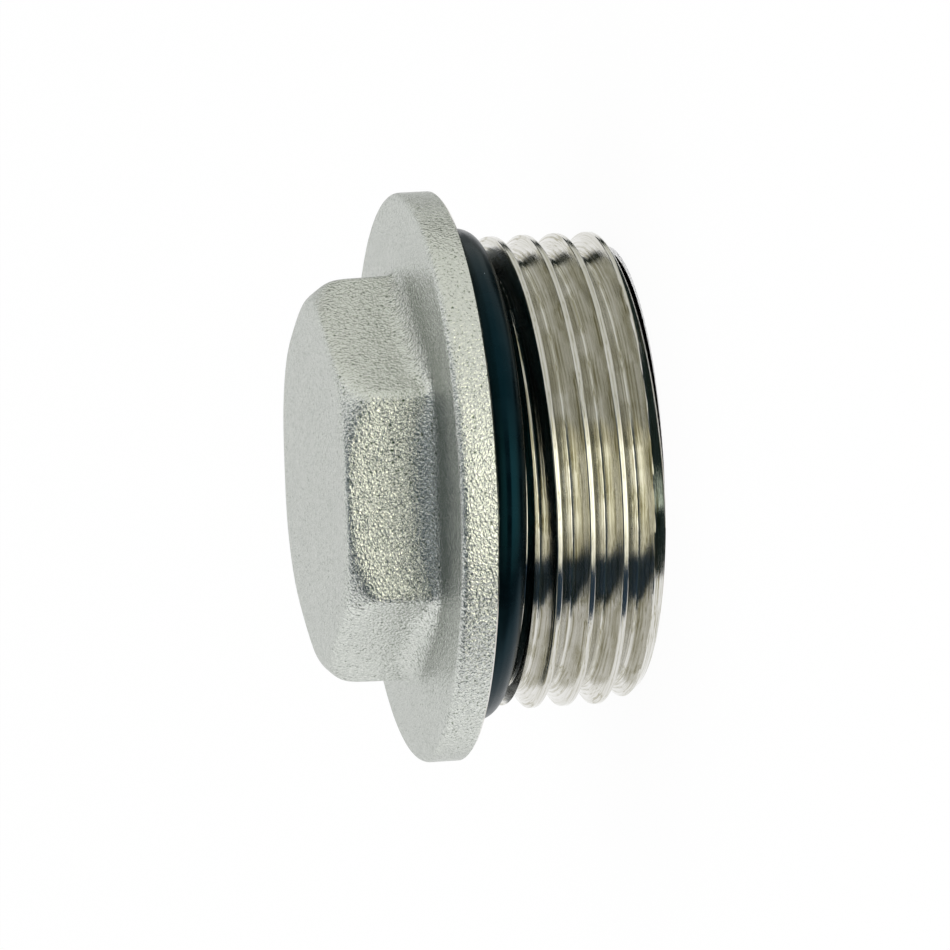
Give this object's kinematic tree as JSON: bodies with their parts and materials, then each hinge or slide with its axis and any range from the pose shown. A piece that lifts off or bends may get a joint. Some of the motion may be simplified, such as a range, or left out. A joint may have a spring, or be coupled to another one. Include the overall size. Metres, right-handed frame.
{
  "type": "pipe plug",
  "caption": "Hexagon-head blanking plug with a round flange, a black sealing ring and a short right-hand parallel pipe thread, hollowed from its thread end.",
  "frame": {"origin": "centre of the thread's end face, on the plug's axis, where the plug stands on a table", "axes": "+Z along the plug's axis from the thread end up to the hexagon head, +X through a corner of the hexagon"},
  "size_m": [0.04, 0.04, 0.0217],
  "materials": {
    "nickel": "nickel-plated, blasted head",
    "rubber": "smooth black"
  },
  "bodies": {
    "root": {"plug_body": "nickel", "o_ring": "rubber"}
  },
  "joints": []
}
